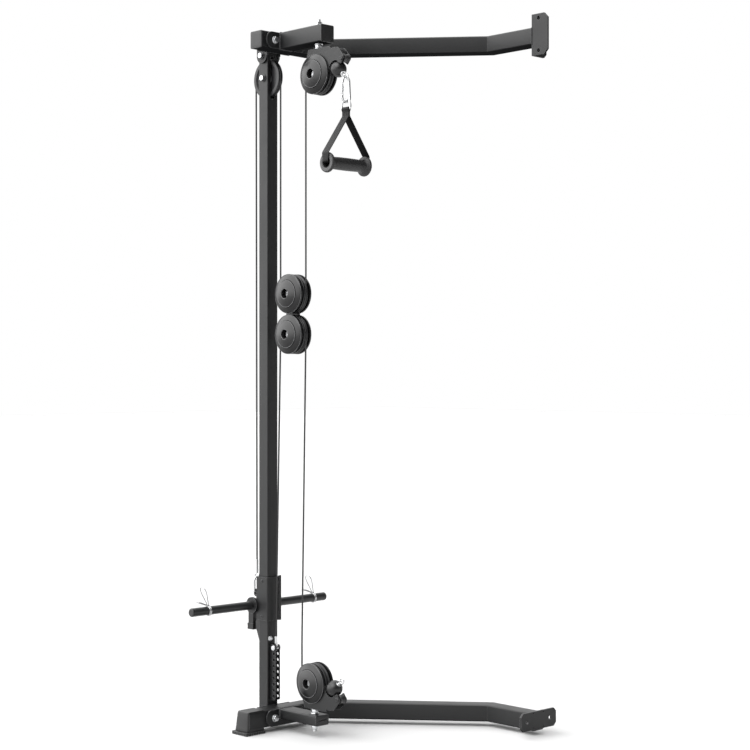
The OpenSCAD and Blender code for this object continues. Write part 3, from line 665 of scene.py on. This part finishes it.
def make_arms():
    for name, node, left, z in (
        ("top_arm_tube", "top_arm", TOP_LEFT, TOP_ARM_Z),
        ("base_arm_tube", "base_arm", BASE_LEFT, BASE_ARM_Z),
    ):
        arm = joined(name, [arm_data(left, z)], COAT)
        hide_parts(node)
        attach(arm, "root")
        end = (END_X + TUBE / 2, RACK_Y, z + TUBE / 2)
        weld = joined(name + "_weld", [weld_data(TUBE, TUBE, end)], COAT)
        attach(weld, "root")


def plate_xz(outline, y0, y1, centre, soft=0.0012):
    """A plate across Y with softened edges, from an outline round centre (x, z)."""
    sections = []
    for y, k in ((y0, soft), (y0 + soft, 0.0), (y1 - soft, 0.0), (y1, soft)):
        ring = []
        for x, z in outline:
            ring.append((centre[0] + x - math.copysign(min(k, abs(x)), x), y,
                         centre[1] + z - math.copysign(min(k, abs(z)), z)))
        sections.append(ring)
    return loft_data(sections)


def make_front_tubes():
    for name, node, z, height, reach in (
        ("top_front_arm", "top_front_tube", TOP_ARM_Z, TUBE, TOP_REACH),
        ("base_front_arm", "base_front_tube", BASE_ARM_Z, BASE_TUBE, BASE_REACH),
    ):
        mid = z + TUBE - height / 2
        section = rounded(TUBE, height, 0.004)
        bar = loft_data([[(a, y, mid + b) for a, b in section] for y in (FRONT - 0.0005, reach)])
        flange = plate_xz(rounded(0.150, 0.049, 0.022, 8), FRONT, -0.075, (0, z + TUBE / 2))
        weld = weld_data(TUBE - 0.001, height - 0.001, (0, FRONT - 0.0006, mid))
        whole = joined(name, [bar, flange, weld], COAT)
        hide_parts(node)
        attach(whole, "root")


def cap_data(height, place):
    """An end cap: a thin lip, a softened edge and a slightly domed face; place(depth, across, up) gives a point."""
    sections = []
    for depth, inset in ((0.0, 0.0), (0.0018, 0.0), (0.0027, 0.0008), (0.003, 0.0022), (0.0032, 0.012)):
        ring = rounded(TUBE - 2 * inset, height - 2 * inset, 0.004)
        sections.append([place(depth, a, b) for a, b in ring])
    return loft_data(sections)


def make_caps():
    top = cap_data(TUBE, lambda depth, a, b: (a, TOP_REACH - depth, TOP_ARM_Z + TUBE / 2 + b))
    low = cap_data(BASE_TUBE, lambda depth, a, b: (a, BASE_REACH - depth, BASE_ARM_Z + TUBE - BASE_TUBE / 2 + b))
    side = cap_data(TUBE, lambda depth, a, b: (TOP_LEFT - depth, ARM_Y + a, TOP_ARM_Z + TUBE / 2 + b))
    caps = joined("end_caps", [top, low, side], PLASTIC)
    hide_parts("tube_caps")
    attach(caps, "root")


def make_foot():
    """The shoe on the base tube's end: it widens to the floor and is rounded at the top.
    Each row gives a height, the outline's X and Y limits there, and its corner radius."""
    sections = []
    for z, x0, x1, y0, y1, r in (
        (0.0095, -0.1425, -0.0775, -0.0745, -0.0160, 0.006),
        (0.0140, -0.1425, -0.0775, -0.0745, -0.0160, 0.006),
        (0.0190, -0.1420, -0.0775, -0.0745, -0.0170, 0.006),
        (0.0400, -0.1412, -0.0775, -0.0745, -0.0195, 0.006),
        (0.0610, -0.1402, -0.0775, -0.0745, -0.0228, 0.006),
        (0.0655, -0.1394, -0.0778, -0.0742, -0.0238, 0.006),
        (0.0672, -0.1375, -0.0785, -0.0730, -0.0256, 0.005),
    ):
        ring = rounded(x1 - x0, y1 - y0, r)
        sections.append([((x0 + x1) / 2 + a, (y0 + y1) / 2 + b, z) for a, b in ring])
    shoe = joined("foot_shoe", [loft_data(sections)], PLASTIC)
    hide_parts("foot_cap")
    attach(shoe, "root")


# ---------- pulleys ----------

COVER_R = 0.058
STEP_R = 0.0414
HUB_R = 0.0151
HUB_HOLE = 0.0136
COVER_INNER = 0.0152
RADIUS_STEP = 0.0014

# The radius, height above the dome and thickness of each pale line on a cover: painted highlights along the ring
# step, the hub and the rim.
COVER_HIGHLIGHT_LINES = ((0.0396, 0.0009, 0.0005), (0.0148, 0.0007, 0.0004), (0.0574, -0.0002, 0.0004))


def dome(r):
    return 0.020 + 0.015 * (1 - (r / COVER_R) ** 2)


def cover_profile():
    """Outline of one cover as (distance from the middle plane, radius): rim, dome, ring step and hub."""
    out = [(COVER_INNER, 0.0560), (COVER_INNER, COVER_R), (0.0176, COVER_R), (0.0189, 0.0577), (0.0199, 0.0571),
           (0.0205, 0.0562)]
    r = 0.0552
    while r > 0.0412:
        out.append((dome(r), r))
        r -= RADIUS_STEP
    for r, lift in ((STEP_R, -0.0002), (0.0411, -0.0022), (0.0402, -0.0022), (0.0399, 0.0006), (0.0394, 0.0010)):
        out.append((dome(r) + lift, r))
    r = 0.0384
    while r > 0.0160:
        out.append((dome(r) + 0.0009, r))
        r -= RADIUS_STEP
    for r, lift in ((HUB_R, 0.0007), (0.0142, 0.0), (HUB_HOLE, -0.0012)):
        out.append((dome(r) + lift, r))
    out.append((COVER_INNER, HUB_HOLE))
    return out


def make_covers(name, node, body, centres):
    profile = cover_profile()
    parts = []
    for centre in centres:
        parts.append(lathe_data(profile, centre))
        parts.append(lathe_data([(-x, r) for x, r in reversed(profile)], centre))
    covers = joined(name, parts, COVER)
    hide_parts(node)
    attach(covers, body)
    # Painted highlights: thin pale rings laid along each cover's edges.
    rings = []
    for centre in centres:
        for side in (-1, 1):
            for r, lift, size in COVER_HIGHLIGHT_LINES:
                at = Vector(centre) + Vector((side * (dome(r) + lift), 0, 0))
                rings.append(tube_data(arc(at, r, 0, 360, steps=90)[:-1], size, 8, closed=True))
    ring = joined(name + "_ring", rings, COVER_HIGHLIGHT)
    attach(ring, body)


# The outer face of a pulley bracket's side plate
PLATE_OUT = 0.015


def make_axles():
    """The hub bolt's two silver heads, and the black pin that the guide roller turns on."""
    for name, node, body, hub, roller in (
        ("top_axle_bolt", "top_axle", "top_swivel_bracket", TOP_WHEEL, ROLLER_TOP),
        ("bottom_axle_bolt", "bottom_axle", "bottom_swivel_bracket", BOTTOM_WHEEL, ROLLER_LOW),
    ):
        parts = []
        for side in (-1, 1):
            m = along_axis(Vector(hub), (side, 0, 0))
            parts += turned([
                disc_data(0.006, 0.0, PLATE_OUT),
                disc_data(0.0115, PLATE_OUT + 0.0001, PLATE_OUT + 0.0018),
                hex_data(0.016, PLATE_OUT + 0.0018, PLATE_OUT + 0.008),
            ], m)
        bolt = joined(name, parts, ZINC)
        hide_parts(node)
        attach(bolt, body)
        pin = []
        for side in (-1, 1):
            m = along_axis(Vector(roller), (side, 0, 0))
            pin += turned([
                disc_data(0.004, 0.0, PLATE_OUT),
                disc_data(0.0065, PLATE_OUT, PLATE_OUT + 0.0022, 0.001),
            ], m)
        head = joined(name + "_roller_pin", pin, COAT)
        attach(head, body)


# ---------- ball stops ----------

BALL_R = 0.0235


def make_balls():
    for name, node, body, centre, out in (
        ("high_stop_ball", "high_ball", "high_stop", TOP_BALL, OUT_TOP),
        ("low_stop_ball", "low_ball", "low_stop", LOW_BALL, OUT_LOW),
    ):
        profile = []
        for i in range(6, 60):
            a = math.pi * i / 66
            seam = 0.00025 * max(0.0, 1 - abs(a - math.pi / 2) / 0.035)
            profile.append((-(BALL_R + seam) * math.cos(a), (BALL_R + seam) * math.sin(a)))
        profile += [(0.0205, 0.0088), (0.0190, 0.0086), (0.0175, 0.0086), (0.0175, 0.0030), (-0.0220, 0.0030)]
        points, faces = lathe_data([(-x, r) for x, r in profile], (0, 0, 0), axis="Z", steps=72)
        m = along_axis(centre, out)
        ball = joined(name, turned([(points, faces)], m), RUBBER)
        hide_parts(node)
        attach(ball, body)


# ---------- handle ----------

HANG_Y = HOOK.y
SNAP_WIRE = 0.0032
SNAP_TOP = LINK_AT.z + 0.072
SNAP_TOP_R = 0.0125
SNAP_LOW_R = 0.0150
GATE_LENGTH = 0.0290


def make_snap_hook():
    """A pear-shaped hook, narrow at the top, with its left side open for the gate."""
    top = Vector((0, HANG_Y, SNAP_TOP - SNAP_TOP_R))
    low = Vector((0, HANG_Y, LINK_AT.z + SNAP_LOW_R))
    nose = Vector((-0.0144, HANG_Y, GATE.z + 0.032))
    path = [nose] + arc(top, SNAP_TOP_R, 175, -175, "XZ") + arc(low, SNAP_LOW_R, 0, -180, "XZ")
    path.append(Vector((-0.015, HANG_Y, GATE.z - 0.0022)))
    ripple = [SNAP_WIRE] * len(path)
    ripple[0] = 0.0036
    pin = [(-0.0040, 0.0), (-0.0040, 0.0014), (-0.0034, 0.0018), (0.0034, 0.0018), (0.0040, 0.0014), (0.0040, 0.0)]
    pin_at = (-0.015, HANG_Y, GATE.z - 0.001)
    hook = joined("snap_hook_bar", [
        tube_data(path, SNAP_WIRE, 18, ripple=ripple),
        lathe_data(pin, pin_at, "Y", 20),
    ], CHROME)
    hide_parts("carabiner")
    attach(hook, "snap_hook")
    sleeve = []
    for i in range(33):
        z = 0.008 + 0.015 * i / 32
        sleeve.append((-z, 0.0041 + (0.0002 if i % 2 else 0)))
    profile = [(-0.0004, 0.0), (-0.0004, 0.0024), (-0.0012, 0.0029), (-0.0075, 0.0029), (-0.0078, 0.0038)] + sleeve
    profile += [(-0.0234, 0.0038), (-0.0237, 0.0029), (-GATE_LENGTH + 0.001, 0.0029)]
    profile += [(-GATE_LENGTH, 0.0024), (-GATE_LENGTH, 0.0)]
    gate = joined("snap_gate_bar", [lathe_data(profile, GATE, "Z", 40)], CHROME)
    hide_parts("carabiner_gate")
    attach(gate, "snap_gate")


LINK_HALF = 0.018
LINK_WIRE = 0.003
LINK_TOP = LINK_AT.z + SNAP_WIRE + LINK_WIRE + 0.0006
LINK_LOW = LINK_TOP - 0.026
GRIP_HALF = 0.077


def make_link():
    arc_z = LINK_TOP - LINK_HALF
    flat = LINK_HALF - 0.004
    path = arc((0, HANG_Y, arc_z), LINK_HALF, 0, 180, "YZ", 28)
    path += arc((0, HANG_Y - flat, LINK_LOW + 0.004), 0.004, 180, 90, "YZ", 6)
    path += arc((0, HANG_Y + flat, LINK_LOW + 0.004), 0.004, 270, 90, "YZ", 6)
    link = joined("strap_link", [tube_data(path, LINK_WIRE, 18, closed=True)], CHROME)
    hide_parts("handle_link")
    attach(link, "handle")


def ribbon_data(path, widths, thick):
    """Webbing along a closed path in the XZ plane, with rounded selvedges."""
    count = len(path)
    sections = []
    for i, p in enumerate(path):
        along = (path[(i + 1) % count] - path[i - 1]).normalized()
        out = Vector((along.z, 0, -along.x))
        ring = rounded(widths[i], thick, thick * 0.45, 3)
        sections.append([p + Vector((0, a, 0)) + out * b for a, b in ring])
    return loft_data(sections, closed=True)


STRAP_W = 0.028
STRAP_T = 0.0026
NECK_Z = 1.783


def make_strap():
    leg_x = GRIP_HALF + 0.0023
    half = [
        (0.0018, NECK_Z + 0.012), (0.0018, NECK_Z), (leg_x, GRIP_AT.z + 0.028),
        (leg_x, GRIP_AT.z), (0.0, GRIP_AT.z),
    ]
    right = fillet([(x, HANG_Y, z) for x, z in half], 0.006, 6)
    round_bar = arc((0, HANG_Y, LINK_LOW), LINK_WIRE + 0.0018, 200, -220, "XZ", 22)
    down = []
    for a, b in zip(right, right[1:]):
        down += between(a, b, 0.004)[:-1]
    up = [Vector((-p.x, p.y, p.z)) for p in reversed(down)]
    path = round_bar + down + [Vector((0, HANG_Y, GRIP_AT.z))] + up
    widths = []
    for p in path:
        inside = max(0.0, min(1.0, (GRIP_AT.z + 0.022 - p.z) / 0.018))
        widths.append(STRAP_W - 0.006 * inside)
    strap = joined("webbing_strap", [ribbon_data(path, widths, STRAP_T)], WEB)
    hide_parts("handle_strap")
    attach(strap, "handle")
    stitches = []
    for side in (-1, 1):
        x = side * (0.0018 + STRAP_T / 2)
        for y in (-0.010, -0.003, 0.004, 0.011):
            for i in range(3):
                z = NECK_Z + 0.0005 + 0.0038 * i
                path = [(x, HANG_Y + y, z), (x + side * 0.0004, HANG_Y + y, z + 0.0006),
                        (x + side * 0.0004, HANG_Y + y, z + 0.0022), (x, HANG_Y + y, z + 0.0028)]
                stitches.append(tube_data(path, 0.00045, 8))
    thread = joined("strap_stitches", stitches, THREAD)
    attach(thread, "handle")


def make_grip():
    h = GRIP_HALF
    outer = [(-h + along, r) for along, r in (
        (0.0, 0.0195), (0.0006, 0.0205), (0.0006, 0.0262), (0.0010, 0.0272), (0.0020, 0.0282), (0.0036, 0.0288),
        (0.0066, 0.0288), (0.0082, 0.0282), (0.0096, 0.0262), (0.0106, 0.0230), (0.0122, 0.0200), (0.0150, 0.0182),
    )]
    barrel = [(-0.055 + 0.11 * i / 22, 0.0174 + 0.0011 * math.cos(math.pi * (i - 11) / 22)) for i in range(23)]
    mirror = [(-x, r) for x, r in reversed(outer)]
    inner = [(h, 0.0152), (h - 0.003, 0.0140), (-h + 0.003, 0.0140), (-h, 0.0152)]
    grip = joined("grip_body", [lathe_data(outer + barrel + mirror + inner, GRIP_AT)], GRIP)
    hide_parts("handle_grip")
    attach(grip, "grip")
    rings = []
    for s in (-1, 1):
        face = [(s * (h + along), r) for along, r in (
            (-0.0002, 0.0168), (0.0004, 0.0176), (0.0004, 0.0250), (-0.0004, 0.0258), (-0.0020, 0.0258),
            (-0.0020, 0.0168),
        )]
        rings.append(lathe_data(face if s > 0 else list(reversed(face)), GRIP_AT))
    ring = joined("grip_end_rings", rings, RING)
    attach(ring, "grip")


# ---------- cables ----------

CABLE_R = 0.0025
INTO_BALL = EXIT_RUN - BALL_R + 0.004
STEP = 0.008
RUN_TOP = 1.915
RUN_LOW = 0.270
SPLIT_TOP = 1.80

# The rear run hangs a little behind the head pulley's own tangent, to meet the carriage's lug
REAR_RUN_Y = 0.052
REAR_RUN_LOW = 0.490


def make_cable(name, path, body, replaced=None, to=None):
    cable = joined(name, [tube_data(path, CABLE_R, 14)], JACKET)
    if replaced:
        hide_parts(replaced)
    if to:
        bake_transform(cable)
    else:
        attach(cable, body)


def make_cables():
    rear_low = Vector((0, REAR_RUN_Y, REAR_RUN_LOW))
    rear_top = HEAD_WHEEL + Vector((0, PITCH_R, 0))
    make_cable("high_cable_rear", between(rear_top, rear_low, STEP), "root", "high_cable_rear_run",
               "carriage")
    front = HEAD_WHEEL - Vector((0, PITCH_R, 0))
    top_of_run = Vector((0, front.y, RUN_TOP))
    over = arc(HEAD_WHEEL, PITCH_R, 0, 180, steps=60) + [top_of_run]
    make_cable("high_cable_over_head", over, "root", "high_cable_head_wrap")
    block_rear = UPPER_WHEEL + Vector((0, PITCH_R, 0))
    block_front = UPPER_WHEEL - Vector((0, PITCH_R, 0))
    make_cable("high_cable_down", between(top_of_run, block_rear, STEP), "root", "high_cable_front_runs",
               "float_block")
    top_rear = TOP_WHEEL + Vector((0, PITCH_R, 0))
    split = Vector((0, block_front.y, SPLIT_TOP))
    make_cable("high_cable_up", between(split, block_front, STEP), "root", None,
               "float_block")
    make_cable("high_cable_up_end", between(split, top_rear, STEP / 2), "root", None,
               "top_swivel_bracket")
    make_cable("block_upper_wrap", arc(UPPER_WHEEL, PITCH_R, 180, 180, steps=60), "float_block", "block_cables")
    make_cable("block_lower_wrap", arc(LOWER_WHEEL, PITCH_R, 0, 180, steps=60), "float_block")
    turn = 90 + math.degrees(EXIT)
    make_cable("top_wrap", arc(TOP_WHEEL, PITCH_R, 0, turn, steps=50), "top_swivel_bracket", "top_bracket_cable")
    into = LEAVE_TOP + OUT_TOP * INTO_BALL
    make_cable("high_cable_out", between(LEAVE_TOP, into, STEP / 2), "top_swivel_bracket", None,
               "high_stop")
    anchor = Vector((0, middle("anchor_fitting").y, RUN_LOW))
    lower_rear = LOWER_WHEEL + Vector((0, PITCH_R, 0))
    lower_front = LOWER_WHEEL - Vector((0, PITCH_R, 0))
    make_cable("low_cable_anchor", between(anchor, lower_rear, STEP), "root", "low_cable_runs",
               "float_block")
    low_rear = BOTTOM_WHEEL + Vector((0, PITCH_R, 0))
    meet = Vector((0, low_rear.y, RUN_LOW))
    make_cable("low_cable_down", between(meet, lower_front, STEP), "root", None,
               "float_block")
    make_cable("low_cable_down_end", between(meet, low_rear, STEP / 2), "root", None,
               "bottom_swivel_bracket")
    make_cable("bottom_wrap", arc(BOTTOM_WHEEL, PITCH_R, 0, -turn, steps=50), "bottom_swivel_bracket",
               "bottom_bracket_cable")
    into = LEAVE_LOW + OUT_LOW * INTO_BALL
    make_cable("low_cable_out", between(LEAVE_LOW, into, STEP / 2), "bottom_swivel_bracket", None,
               "low_stop")


make_camera()
make_studio()
finish_cad_nodes()
make_arms()
make_front_tubes()
make_caps()
make_foot()
make_flange_bolts()
make_swivel_bolts()
make_covers("top_pulley_covers", "top_covers", "top_swivel_bracket", [TOP_WHEEL])
make_covers("bottom_pulley_covers", "bottom_covers", "bottom_swivel_bracket", [BOTTOM_WHEEL])
make_covers("float_pulley_covers", "block_covers", "float_block", [UPPER_WHEEL, LOWER_WHEEL])
make_mast_bolts()
make_clips()
make_axles()
make_balls()
make_snap_hook()
make_link()
make_strap()
make_grip()
make_cables()
